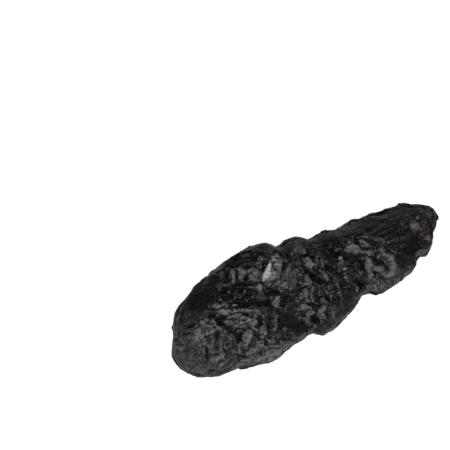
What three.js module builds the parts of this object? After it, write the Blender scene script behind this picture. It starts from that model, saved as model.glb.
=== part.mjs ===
// A tektite: one free-formed lump of natural black glass, thick at one end and
// waisted towards the other, with a broad pitted face and a worn underside.
//
// The stone is a stack of rings along X. Each ring is drawn in the stone's own
// axes: "across" runs over the broad face from its lower to its upper edge, and
// "out" stands straight up from that face. The pair leans back about X by
// FACE_TILT, which is how the stone lies on a table. Lumps, pits and creases are
// then raised or sunk along the surface's own normal. The frame's origin is under
// the middle of the stone, on the table, with +Z up. All sizes are millimetres.
import * as THREE from "three";

// Driving dimensions.
const LENGTH = 66;
const FACE_TILT = THREE.MathUtils.degToRad(31);
const REST_LEVEL = -7.9; // height of the worn underside below the stone's own axis
const MIDDLE = { x: 0, y: 1.4 }; // middle of the stone's footprint, from that axis

// Mesh density: rings along the stone, points around each ring.
const RINGS = 78;
const AROUND = 62;
const END_SHARPNESS = 6; // a higher power gathers the rings closer to the two tips
const FACE_GATHER = 0.3; // gathers the points of a ring over the face, 0 for none

// Fullness of the ring in each quarter: 2 is an ellipse, more is squarer.
const FULLNESS = { upperFace: 2.0, lowerFace: 2.6, underside: 2.2 };
const UNDERSIDE_SMOOTHING = 6; // half length over which an edge's notches are evened out below
const TIP_FADE = 0.15; // share of the half length over which the relief dies at a tip
const SKIN = 0.3; // added all round, to make up for what the pits take away

// Edges of the broad face: [along, across].
const UPPER_EDGE = [
  [-33.0, 0.6], [-32.4, 2.5], [-31.3, 3.4], [-30.6, 3.4], [-29.8, 6.9], [-28.9, 8.3],
  [-26.7, 9.4], [-23.6, 10.7], [-20.7, 11.5], [-16.6, 12.3], [-12.2, 13.0], [-9.8, 13.1],
  [-6.4, 12.7], [-5.1, 12.2], [-3.6, 10.4], [-2.6, 10.4], [-1.1, 11.0], [1.9, 10.3],
  [3.3, 9.0], [4.4, 8.8], [7.5, 9.2], [11.1, 8.3], [13.9, 8.6], [17.3, 8.1],
  [22.6, 7.2], [26.9, 6.6], [29.0, 5.4], [30.9, 4.4], [32.1, 3.6], [32.8, 1.9],
  [33.0, 0.6],
];
const LOWER_EDGE = [
  [-33.0, 0.6], [-32.6, -2.0], [-31.3, -4.2], [-29.8, -5.4], [-27.4, -6.4], [-26.0, -6.9],
  [-22.4, -7.1], [-20.3, -8.0], [-16.5, -9.0], [-13.0, -9.0], [-11.6, -8.5], [-10.2, -8.2],
  [-8.0, -8.2], [-5.2, -8.0], [-4.3, -8.3], [-3.2, -9.4], [-1.4, -9.6], [0.4, -9.6],
  [2.3, -8.7], [6.1, -7.7], [8.9, -6.5], [10.0, -6.2], [11.3, -7.6], [12.5, -7.9],
  [15.5, -8.1], [18.8, -7.4], [20.8, -7.2], [22.6, -5.6], [24.4, -5.1], [25.9, -5.4],
  [27.8, -3.9], [29.4, -2.0], [30.6, -1.4], [31.8, -0.4], [32.8, 0.0], [33.0, 0.6],
];

// How far the face stands out from the plane of those edges, and the underside
// behind it, and how far that plane itself bows: [along, distance].
const FACE_RISE = [
  [-33, 0], [-31.5, 4.6], [-28, 7.2], [-22, 8.5], [-14, 8.9], [-6, 8.4], [0, 7.7],
  [6, 7.0], [10.5, 5.9], [15, 6.4], [22, 6.1], [27, 5.1], [30, 3.9], [32, 2.3], [33, 0],
];
const BACK_DEPTH = [
  [-33, 0], [-31.5, 4.2], [-28, 6.8], [-22, 8.8], [-14, 9.2], [-6, 8.8], [0, 8.2],
  [8, 7.2], [16, 6.6], [22, 6.1], [27, 5.2], [30, 4.0], [32, 2.4], [33, 0],
];
const EDGE_BOW = [[-33, 0], [-20, 0], [0, -0.2], [12, -1.0], [24, -1.4], [33, -1.2]];

// Rounded swellings on the face: [along, across, length, width, turn in degrees, rise].
const LUMPS = [
  [-26.7, -3.3, 7.0, 6.0, 0, 0.7], // smooth boss at the thick end
  [-26.5, 4.3, 6.2, 4.2, -39, 0.6],
  [-21.3, 5.0, 5.5, 3.0, -27, 0.7],
  [-21.9, 6.8, 4.5, 2.6, -27, 0.5],
  [-18.5, 2.0, 6.5, 4.0, -27, 0.7],
  [-20.0, -2.6, 5.0, 3.0, 48, 0.7],
  [-15.8, 2.4, 9.0, 2.4, -27, 0.9], // lip of the terrace below the trough
  [-16.0, 10.4, 3.6, 2.6, 63, 0.5],
  [-14.0, 10.1, 3.6, 2.4, 45, 0.5],
  [-12.4, 9.1, 3.4, 3.2, 0, 0.6],
  [-12.7, 6.3, 3.0, 2.4, 63, 0.5],
  [-10.9, 2.3, 3.6, 2.6, 70, 0.7],
  [-6.8, 4.6, 6.5, 2.4, 40, 0.6], // two ridges that meet in a peak
  [-3.4, 3.6, 6.5, 2.4, -89, 0.5],
  [0.6, 4.3, 7.5, 2.4, -65, 0.5],
  [-5.3, 0.3, 3.6, 2.8, 63, 0.6],
  [-5.2, -3.0, 4.0, 2.6, -50, 0.6],
  [-3.0, -3.7, 5.5, 2.6, 25, 0.8],
  [0.1, -4.8, 4.4, 3.4, 0, 0.5],
  [10.0, 4.4, 5.8, 3.2, -37, 0.8],
  [12.6, 3.4, 3.0, 2.2, -60, 0.5],
  [11.7, -0.3, 4.8, 3.2, 75, 0.7],
  [13.5, -2.5, 3.2, 3.0, 0, 0.6],
  [16.0, -1.6, 5.0, 3.0, -70, 0.6], // horseshoe near the thin end
  [15.8, -4.2, 4.4, 3.0, 70, 0.6],
  [14.2, -4.9, 3.8, 2.6, -7, 0.5],
  [24.6, 2.1, 3.6, 2.8, -80, 0.6],
  [24.8, -3.6, 4.6, 3.0, 0, 0.4],
  [-10.0, -6.2, 10.0, 4.2, 0, 0.6],
];

// Troughs, creases and pits sunk in the face, in the same order, with their depth.
const HOLLOWS = [
  [-16.9, 7.3, 13.0, 4.8, -27, 1.1], // the long trough
  [-22.6, 3.4, 6.0, 2.0, -60, 0.9],
  [-21.3, -1.4, 6.0, 3.2, 63, 0.9],
  [-9.6, 7.6, 6.6, 4.8, 66, 1.2], // old chip scar
  [-1.6, 3.0, 7.5, 3.2, -63, 0.5],
  [-4.8, -5.4, 4.4, 3.6, 63, 1.2],
  [8.3, -3.3, 5.0, 3.8, -27, 1.3],
  [14.3, -1.8, 4.4, 3.0, -78, 0.8],
  [-9.8, -2.6, 8.0, 6.0, 0, 1.1],
  [17.0, 3.4, 12.5, 4.6, -5, 0.7],
  [4.0, 0.5, 9.5, 4.6, 63, 0.7],
  [-2.3, 8.3, 4.6, 3.6, 0, 0.6],
  [21.0, -1.6, 6.0, 4.4, -27, 0.5],
];

// Shallow pits all round the stone, laid out along a spiral.
const SPIRAL_PITS = {
  count: 200,
  turn: 2.399963, // golden angle, in radians
  smallest: 1.6, // radius
  spread: 1.9,
  depthShare: 0.26, // depth as a share of the radius
  onFace: 0.6, // share of that depth left on the face, which has its own relief
  faceMargin: 0.35, // how far round the edge the face's own relief reaches
};

// Value at `along` of the smooth curve through points [along, value]. The curve is
// read against the end-on angle acos(-along / half), so that it closes round at both tips.
const angleAt = (along) => Math.acos(THREE.MathUtils.clamp((-2 * along) / LENGTH, -1, 1));

function smoothThrough(points) {
  const knots = points.map(([along]) => angleAt(along));
  const values = points.map(([, value]) => value);
  const last = knots.length - 1;
  const slope = (i) => {
    if (i === 0) return (values[1] - values[0]) / (knots[1] - knots[0]);
    if (i === last) return (values[last] - values[last - 1]) / (knots[last] - knots[last - 1]);
    const before = knots[i] - knots[i - 1];
    const after = knots[i + 1] - knots[i];
    const rise = (values[i] - values[i - 1]) / before;
    const next = (values[i + 1] - values[i]) / after;
    return (rise * after + next * before) / (before + after);
  };
  const slopes = values.map((_, i) => slope(i));
  return (along) => {
    const angle = angleAt(along);
    let i = 0;
    while (i < last - 1 && angle > knots[i + 1]) i += 1;
    const width = knots[i + 1] - knots[i];
    const f = (angle - knots[i]) / width;
    const g = 1 - f;
    return (
      (1 + 2 * f) * g * g * values[i] +
      f * g * g * width * slopes[i] +
      f * f * (3 - 2 * f) * values[i + 1] -
      f * f * g * width * slopes[i + 1]
    );
  };
}

const upperEdge = smoothThrough(UPPER_EDGE);
const lowerEdge = smoothThrough(LOWER_EDGE);
const faceRise = smoothThrough(FACE_RISE);
const backDepth = smoothThrough(BACK_DEPTH);
const edgeBow = smoothThrough(EDGE_BOW);

// Middle and half width of the stone at `along`. `under` runs from 0 on the face
// and its edges to 1 well below them, where each edge is the mean of its neighbourhood.
function edges(along, under) {
  const reach = Math.min(UNDERSIDE_SMOOTHING, LENGTH / 2 - Math.abs(along));
  const [upper, lower] = [upperEdge, lowerEdge].map((edge) => {
    const nearby = [-1, -0.5, 0, 0.5, 1].map((k) => edge(along + k * reach));
    const mean = nearby.reduce((sum, value) => sum + value, 0) / nearby.length;
    return THREE.MathUtils.lerp(edge(along), mean, under);
  });
  return { middle: (upper + lower) / 2, half: (upper - lower) / 2 };
}

function fullness(side, out) {
  if (out < 0) return FULLNESS.underside;
  return side > 0 ? FULLNESS.upperFace : FULLNESS.lowerFace;
}

// From the stone's own axes (along, across, out) to the frame, leaning the face back.
const leaned = (along, across, out) =>
  new THREE.Vector3(
    along,
    across * Math.cos(FACE_TILT) - out * Math.sin(FACE_TILT),
    across * Math.sin(FACE_TILT) + out * Math.cos(FACE_TILT),
  );

// Point of the smooth stone, before its relief: `share` runs from -1 at the thick
// tip to 1 at the thin tip, and `angle` goes round from the upper edge over the face.
function smoothPoint(share, angle) {
  const power = END_SHARPNESS;
  const along = (LENGTH / 2) * share * ((power + 1 - Math.abs(share) ** power) / power);
  const side = Math.cos(angle);
  const out = Math.sin(angle);
  const full = fullness(side, out);
  const radius = (Math.abs(side) ** full + Math.abs(out) ** full) ** (-1 / full);
  const { middle, half } = edges(along, THREE.MathUtils.smoothstep(-out, 0, 0.45));
  const reach = out > 0 ? faceRise(along) : backDepth(along);
  return leaned(along, middle + half * side * radius, edgeBow(along) + reach * out * radius);
}

// Outward normal of the smooth stone, from two short steps along and around it.
function smoothNormal(share, angle) {
  const step = 1e-3;
  const inside = THREE.MathUtils.clamp(share, -1 + 2 * step, 1 - 2 * step);
  const along = smoothPoint(inside + step, angle).sub(smoothPoint(inside - step, angle));
  const around = smoothPoint(inside, angle + step).sub(smoothPoint(inside, angle - step));
  return around.cross(along).normalize();
}

// Share and angle of the face point at (along, across).
function onFace(along, across) {
  let low = -1;
  let high = 1;
  for (let i = 0; i < 40; i += 1) {
    const share = (low + high) / 2;
    if (smoothPoint(share, Math.PI / 2).x < along) low = share;
    else high = share;
  }
  const { middle, half } = edges(along, 0);
  const side = THREE.MathUtils.clamp((across - middle) / half, -0.98, 0.98);
  const full = fullness(side, 1);
  return [low, Math.atan2((1 - Math.abs(side) ** full) ** (1 / full), side)];
}

// A mark's own axes on the surface: one along its length, one along its width.
function markAt([along, across, length, width, turn, size]) {
  const [share, angle] = onFace(along, across);
  const centre = smoothPoint(share, angle);
  const normal = smoothNormal(share, angle);
  const lengthwise = new THREE.Vector3(1, 0, 0).projectOnPlane(normal).normalize();
  lengthwise.applyAxisAngle(normal, THREE.MathUtils.degToRad(turn));
  const widthwise = new THREE.Vector3().crossVectors(normal, lengthwise);
  return { centre, normal, lengthwise, widthwise, length, width, size };
}

// 1 at a mark's centre, 0 on its elliptical rim and beyond.
function bowl(mark, point, normal) {
  if (normal.dot(mark.normal) < 0) return 0;
  const offset = point.clone().sub(mark.centre);
  const a = offset.dot(mark.lengthwise) / (mark.length / 2);
  const b = offset.dot(mark.widthwise) / (mark.width / 2);
  return Math.max(0, 1 - a * a - b * b);
}

// Pits on a golden-angle spiral over the whole stone, each of its own size.
function spiralPits() {
  const { count, turn, smallest, spread } = SPIRAL_PITS;
  return Array.from({ length: count }, (_, i) => {
    const share = ((i + 0.5) / count) * 2 - 1;
    const centre = smoothPoint(share, i * turn);
    const radius = smallest + spread * ((i * 0.754877) % 1);
    return { centre, radius };
  });
}

const lumps = LUMPS.map(markAt);
const hollows = HOLLOWS.map(markAt);
const pits = spiralPits();

// Height of the relief at a point: swellings add up, and the deepest hollow wins.
function relief(point, normal, share, angle) {
  let raised = 0;
  let sunk = 0;
  for (const lump of lumps) raised += lump.size * bowl(lump, point, normal) ** 1.5;
  for (const hollow of hollows)
    sunk = Math.max(sunk, hollow.size * bowl(hollow, point, normal) ** 1.3);
  const { onFace: least, faceMargin, depthShare } = SPIRAL_PITS;
  const offFace = THREE.MathUtils.smoothstep(-Math.sin(angle), -faceMargin, faceMargin);
  for (const pit of pits) {
    const inside = 1 - point.distanceToSquared(pit.centre) / pit.radius ** 2;
    const depth = THREE.MathUtils.lerp(least, 1, offFace) * depthShare * pit.radius;
    sunk = Math.max(sunk, depth * inside);
  }
  const fade = THREE.MathUtils.smoothstep(1 - Math.abs(share), 0, TIP_FADE);
  return (SKIN + raised - sunk) * fade;
}

// One point of the finished surface, with the underside worn level where it rests.
function stonePoint(share, angle) {
  const point = smoothPoint(share, angle);
  const normal = smoothNormal(share, angle);
  point.addScaledVector(normal, relief(point, normal, share, angle));
  point.z = Math.max(point.z, REST_LEVEL);
  return point.sub(new THREE.Vector3(MIDDLE.x, MIDDLE.y, REST_LEVEL));
}

// The closed mesh: a point at each tip and rings of points between them.
function stoneGeometry() {
  const points = [stonePoint(-1, 0)];
  for (let ring = 1; ring < RINGS; ring += 1)
    for (let i = 0; i < AROUND; i += 1) {
      const turn = (2 * Math.PI * i) / AROUND;
      points.push(stonePoint((2 * ring) / RINGS - 1, turn + FACE_GATHER * Math.cos(turn)));
    }
  points.push(stonePoint(1, 0));

  // Each four-cornered patch is split along its shorter diagonal, which follows creases.
  const halves = (a, b, c, d) =>
    points[a].distanceTo(points[c]) < points[b].distanceTo(points[d])
      ? [a, b, c, a, c, d]
      : [a, b, d, b, c, d];
  const faces = [];
  const lastPoint = points.length - 1;
  const at = (ring, i) => 1 + (ring - 1) * AROUND + (i % AROUND);
  for (let i = 0; i < AROUND; i += 1) {
    faces.push(0, at(1, i + 1), at(1, i));
    faces.push(lastPoint, at(RINGS - 1, i), at(RINGS - 1, i + 1));
    for (let ring = 1; ring < RINGS - 1; ring += 1)
      faces.push(...halves(at(ring, i), at(ring, i + 1), at(ring + 1, i + 1), at(ring + 1, i)));
  }
  const geometry = new THREE.BufferGeometry().setFromPoints(points);
  geometry.setIndex(faces);
  geometry.computeVertexNormals();
  return geometry;
}

const glass = new THREE.MeshStandardMaterial({
  color: new THREE.Color(0.03, 0.029, 0.031),
  roughness: 0.42,
  metalness: 0,
});

const tektite = new THREE.Mesh(stoneGeometry(), glass);
tektite.name = "tektite";

const part = new THREE.Group();
part.add(tektite);

export default part;
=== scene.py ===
import math
from types import SimpleNamespace

import bpy
import numpy as np
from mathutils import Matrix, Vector


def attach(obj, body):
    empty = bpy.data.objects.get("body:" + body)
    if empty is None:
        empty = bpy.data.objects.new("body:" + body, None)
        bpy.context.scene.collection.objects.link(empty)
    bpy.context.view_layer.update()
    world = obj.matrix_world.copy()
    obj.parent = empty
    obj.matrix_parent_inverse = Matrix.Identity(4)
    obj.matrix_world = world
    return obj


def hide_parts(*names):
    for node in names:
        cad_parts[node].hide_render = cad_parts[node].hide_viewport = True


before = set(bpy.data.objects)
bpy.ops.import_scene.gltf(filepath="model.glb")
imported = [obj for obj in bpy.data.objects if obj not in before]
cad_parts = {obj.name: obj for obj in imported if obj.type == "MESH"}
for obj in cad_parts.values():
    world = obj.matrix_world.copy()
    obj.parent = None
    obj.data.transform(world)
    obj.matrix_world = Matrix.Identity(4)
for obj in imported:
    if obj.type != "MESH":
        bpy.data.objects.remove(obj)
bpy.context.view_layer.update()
print("frame loaded")


camera = {
    "azimuth": -31.6,  # degrees; 0 looks along +Y, growing towards +X
    "elevation": 55.0,
    "lens": 100.0,  # millimetres, as is the sensor
    "sensor": 36.0,
    "distance": 0.2567,  # metres, as are the aim and the clip
    "aim": (-0.01003, 0.01677, 0.0155),
    "clip": (0.01, 10.0),
    "picture": 450,  # columns and rows of the camera's picture
}


# the stone's outline and fullness, in millimetres; each list is [along, value]
form = {
    "length": 66.0,
    "faceTilt": 31.0,  # degrees the broad face leans back about X
    "restLevel": -7.9,  # worn underside, below the stone's own axis
    "middle": (0.0, 1.4),  # middle of the footprint, from that axis
    "rings": 380,
    "around": 260,
    "endSharpness": 6,  # gathers the rings closer to the two tips
    "faceGather": 0.42,  # gathers the points of a ring over the face
    "fullness": {"upperFace": 2.0, "lowerFace": 2.6, "underside": 2.2},
    "undersideSmoothing": 6.0,  # half length over which an edge's notches are evened out below
    "undersideFrom": 0.45,  # sine of the angle below the edge from which they are evened out in full
    "faceLimit": 0.98,  # share of the half width within which a form may be placed on the face
    "tipFade": 0.15,  # share of the half length over which the relief dies at a tip
    "tipRelief": 0.12,  # share of the small relief that is left at the tip itself
    "skin": 0.3,  # added all round, to make up for what the pits take away
    "upperEdge": [
        (-33.0, 0.6), (-32.4, 2.5), (-31.3, 3.4), (-30.6, 3.4), (-29.8, 6.9), (-28.9, 8.3),
        (-26.7, 9.4), (-23.6, 10.7), (-20.7, 11.5), (-16.6, 12.3), (-12.2, 13.0), (-9.8, 13.1),
        (-6.4, 12.7), (-5.1, 12.2), (-3.6, 10.4), (-2.6, 10.4), (-1.1, 11.0), (1.9, 10.3),
        (3.3, 9.0), (4.4, 8.8), (7.5, 9.2), (11.1, 8.3), (13.9, 8.6), (17.3, 8.1),
        (22.6, 7.2), (26.9, 6.6), (29.0, 5.4), (30.9, 4.4), (32.1, 3.6), (32.8, 1.9), (33.0, 0.6),
    ],
    "lowerEdge": [
        (-33.0, 0.6), (-32.6, -2.0), (-31.3, -4.2), (-29.8, -5.4), (-27.4, -6.4), (-26.0, -6.9),
        (-22.4, -7.1), (-20.3, -8.0), (-16.5, -9.0), (-13.0, -9.0), (-11.6, -8.5), (-10.2, -8.2),
        (-8.0, -8.2), (-5.2, -8.0), (-4.3, -8.3), (-3.2, -9.4), (-1.4, -9.6), (0.4, -9.6),
        (2.3, -8.7), (6.1, -7.7), (8.9, -6.5), (10.0, -6.2), (11.3, -7.6), (12.5, -7.9),
        (15.5, -8.1), (18.8, -7.4), (20.8, -7.2), (22.6, -5.6), (24.4, -5.1), (25.9, -5.4),
        (27.8, -3.9), (29.4, -2.0), (30.6, -1.4), (31.8, -0.4), (32.8, 0.0), (33.0, 0.6),
    ],
    "faceRise": [
        (-33, 0), (-31.5, 4.6), (-28, 7.2), (-22, 8.5), (-14, 8.9), (-6, 8.4), (0, 7.7),
        (6, 7.0), (10.5, 5.9), (15, 6.4), (22, 6.1), (27, 5.1), (30, 3.9), (32, 2.3), (33, 0),
    ],
    "backDepth": [
        (-33, 0), (-31.5, 4.2), (-28, 6.8), (-22, 8.8), (-14, 9.2), (-6, 8.8), (0, 8.2),
        (8, 7.2), (16, 6.6), (22, 6.1), (27, 5.2), (30, 4.0), (32, 2.4), (33, 0),
    ],
    "edgeBow": [(-33, 0), (-20, 0), (0, -0.2), (12, -1.0), (24, -1.4), (33, -1.2)],
}


def smoothThrough(points):
    # cubic curve through [along, value], read against acos(-along / half length) so it
    # closes round at both tips; the slope at a point is the weighted mean of its two chords
    half = form["length"] / 2
    angleAt = lambda along: np.arccos(np.clip(-np.asarray(along, float) / half, -1, 1))
    knots = angleAt([p[0] for p in points])
    values = np.array([p[1] for p in points], float)
    widths = np.diff(knots)
    chords = np.diff(values) / widths
    inner = (chords[:-1] * widths[1:] + chords[1:] * widths[:-1]) / (widths[1:] + widths[:-1])
    slopes = np.concatenate([chords[:1], inner, chords[-1:]])

    def value(along):
        angle = angleAt(along)
        i = np.clip(np.searchsorted(knots, angle) - 1, 0, len(widths) - 1)
        f = (angle - knots[i]) / widths[i]
        g = 1 - f
        return (
            (1 + 2 * f) * g * g * values[i]
            + f * g * g * widths[i] * slopes[i]
            + f * f * (3 - 2 * f) * values[i + 1]
            - f * f * g * widths[i] * slopes[i + 1]
        )

    return value


upperEdge, lowerEdge, faceRise, backDepth, edgeBow = (
    smoothThrough(form[name]) for name in ("upperEdge", "lowerEdge", "faceRise", "backDepth", "edgeBow")
)


def smoothStep(x, low, high):
    # 0 below low, 1 above high, 3t^2 - 2t^3 between
    t = np.clip((x - low) / (high - low), 0, 1)
    return t * t * (3 - 2 * t)


def edges(along, under):
    # middle and half width at along; under = 1 gives each edge as the mean of its neighbourhood
    reach = np.minimum(form["undersideSmoothing"], form["length"] / 2 - np.abs(along))
    ends = []
    for edge in (upperEdge, lowerEdge):
        mean = sum(edge(along + k * reach) for k in (-1, -0.5, 0, 0.5, 1)) / 5
        ends.append(edge(along) * (1 - under) + mean * under)
    return (ends[0] + ends[1]) / 2, (ends[0] - ends[1]) / 2


def alongOf(share):
    # share -1 to 1 along the stone, with the rings gathered at the tips:
    # half length * share * (power + 1 - |share|^power) / power
    power = form["endSharpness"]
    return form["length"] / 2 * share * (power + 1 - np.abs(share) ** power) / power


def leaned(along, across, out):
    # the stone's own axes turned back about X by the face's tilt
    tilt = math.radians(form["faceTilt"])
    c, s = math.cos(tilt), math.sin(tilt)
    return np.stack([along, across * c - out * s, across * s + out * c], -1)


def smoothPoint(share, angle):
    # superellipse ring: (cos a, sin a) / (|cos a|^n + |sin a|^n)^(1/n), times half width and rise
    along = alongOf(share)
    side, out = np.cos(angle), np.sin(angle)
    full = np.where(
        out < 0,
        form["fullness"]["underside"],
        np.where(side > 0, form["fullness"]["upperFace"], form["fullness"]["lowerFace"]),
    )
    radius = (np.abs(side) ** full + np.abs(out) ** full) ** (-1 / full)
    middle, half = edges(along, smoothStep(-out, 0, form["undersideFrom"]))
    reach = np.where(out > 0, faceRise(along), backDepth(along))
    return leaned(along, middle + half * side * radius, edgeBow(along) + reach * out * radius)


def unit(v):
    # each vector over its own length
    return v / np.maximum(np.linalg.norm(v, axis=-1, keepdims=True), 1e-12)


def smoothNormal(share, angle):
    # cross product of two short steps, round the ring and along the stone
    step = 1e-3
    inside = np.clip(share, -1 + 2 * step, 1 - 2 * step)
    along = smoothPoint(inside + step, angle) - smoothPoint(inside - step, angle)
    around = smoothPoint(inside, angle + step) - smoothPoint(inside, angle - step)
    return unit(np.cross(around, along))


def onFace(along, across):
    # share and angle of the face point at (along, across): the share is found by halving, and
    # the angle is that of (side, (1 - |side|^n)^(1/n)), with side as a share of the half width
    low, high = -np.ones_like(along), np.ones_like(along)
    for _ in range(40):
        share = (low + high) / 2
        short = alongOf(share) < along
        low, high = np.where(short, share, low), np.where(short, high, share)
    middle, half = edges(along, 0)
    side = np.clip((across - middle) / half, -form["faceLimit"], form["faceLimit"])
    full = np.where(side > 0, form["fullness"]["upperFace"], form["fullness"]["lowerFace"])
    return low, np.arctan2((1 - np.abs(side) ** full) ** (1 / full), side)


# the largest forms of the broad face: (along, across, length, width, turn in degrees, height or depth)
carved = {
    "lumps": [
        (-26.7, -3.3, 7.0, 6.0, 0, 0.7), (-26.5, 4.3, 6.2, 4.2, -39, 0.6),
        (-21.3, 5.0, 5.5, 3.0, -27, 0.7), (-21.9, 6.8, 4.5, 2.6, -27, 0.5),
        (-18.5, 2.0, 6.5, 4.0, -27, 0.7), (-20.0, -2.6, 5.0, 3.0, 48, 0.7),
        (-15.8, 2.4, 9.0, 2.4, -27, 0.9), (-16.0, 10.4, 3.6, 2.6, 63, 0.5),
        (-14.0, 10.1, 3.6, 2.4, 45, 0.5), (-12.4, 9.1, 3.4, 3.2, 0, 0.6),
        (-12.7, 6.3, 3.0, 2.4, 63, 0.5), (-10.9, 2.3, 3.6, 2.6, 70, 0.7),
        (-6.8, 4.6, 6.5, 2.4, 40, 0.6), (-3.4, 3.6, 6.5, 2.4, -89, 0.5), (0.6, 4.3, 7.5, 2.4, -65, 0.5),
        (-5.3, 0.3, 3.6, 2.8, 63, 0.6), (-5.2, -3.0, 4.0, 2.6, -50, 0.6),
        (-3.0, -3.7, 5.5, 2.6, 25, 0.8), (0.1, -4.8, 4.4, 3.4, 0, 0.5), (10.0, 4.4, 5.8, 3.2, -37, 0.8),
        (12.6, 3.4, 3.0, 2.2, -60, 0.5), (11.7, -0.3, 4.8, 3.2, 75, 0.7),
        (13.5, -2.5, 3.2, 3.0, 0, 0.6), (16.0, -1.6, 5.0, 3.0, -70, 0.6),
        (15.8, -4.2, 4.4, 3.0, 70, 0.6), (14.2, -4.9, 3.8, 2.6, -7, 0.5),
        (24.6, 2.1, 3.6, 2.8, -80, 0.6), (24.8, -3.6, 4.6, 3.0, 0, 0.4),
        (-10.0, -6.2, 10.0, 4.2, 0, 0.6),
    ],
    "hollows": [
        (-16.9, 7.3, 13.0, 4.8, -27, 1.1), (-22.6, 3.4, 6.0, 2.0, -60, 0.9),
        (-21.3, -1.4, 6.0, 3.2, 63, 0.9), (-9.6, 7.6, 6.6, 4.8, 66, 1.2),
        (-1.6, 3.0, 7.5, 3.2, -63, 0.5), (-4.8, -5.4, 4.4, 3.6, 63, 1.2),
        (8.3, -3.3, 5.0, 3.8, -27, 1.3), (14.3, -1.8, 4.4, 3.0, -78, 0.8),
        (-9.8, -2.6, 8.0, 6.0, 0, 1.1), (17.0, 3.4, 12.5, 4.6, -5, 0.7), (4.0, 0.5, 9.5, 4.6, 63, 0.7),
        (-2.3, 8.3, 4.6, 3.6, 0, 0.6), (21.0, -1.6, 6.0, 4.4, -27, 0.5),
    ],
}
carvedPower = {"lumps": 1.5, "hollows": 1.3}  # the higher, the softer the foot of each form

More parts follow.
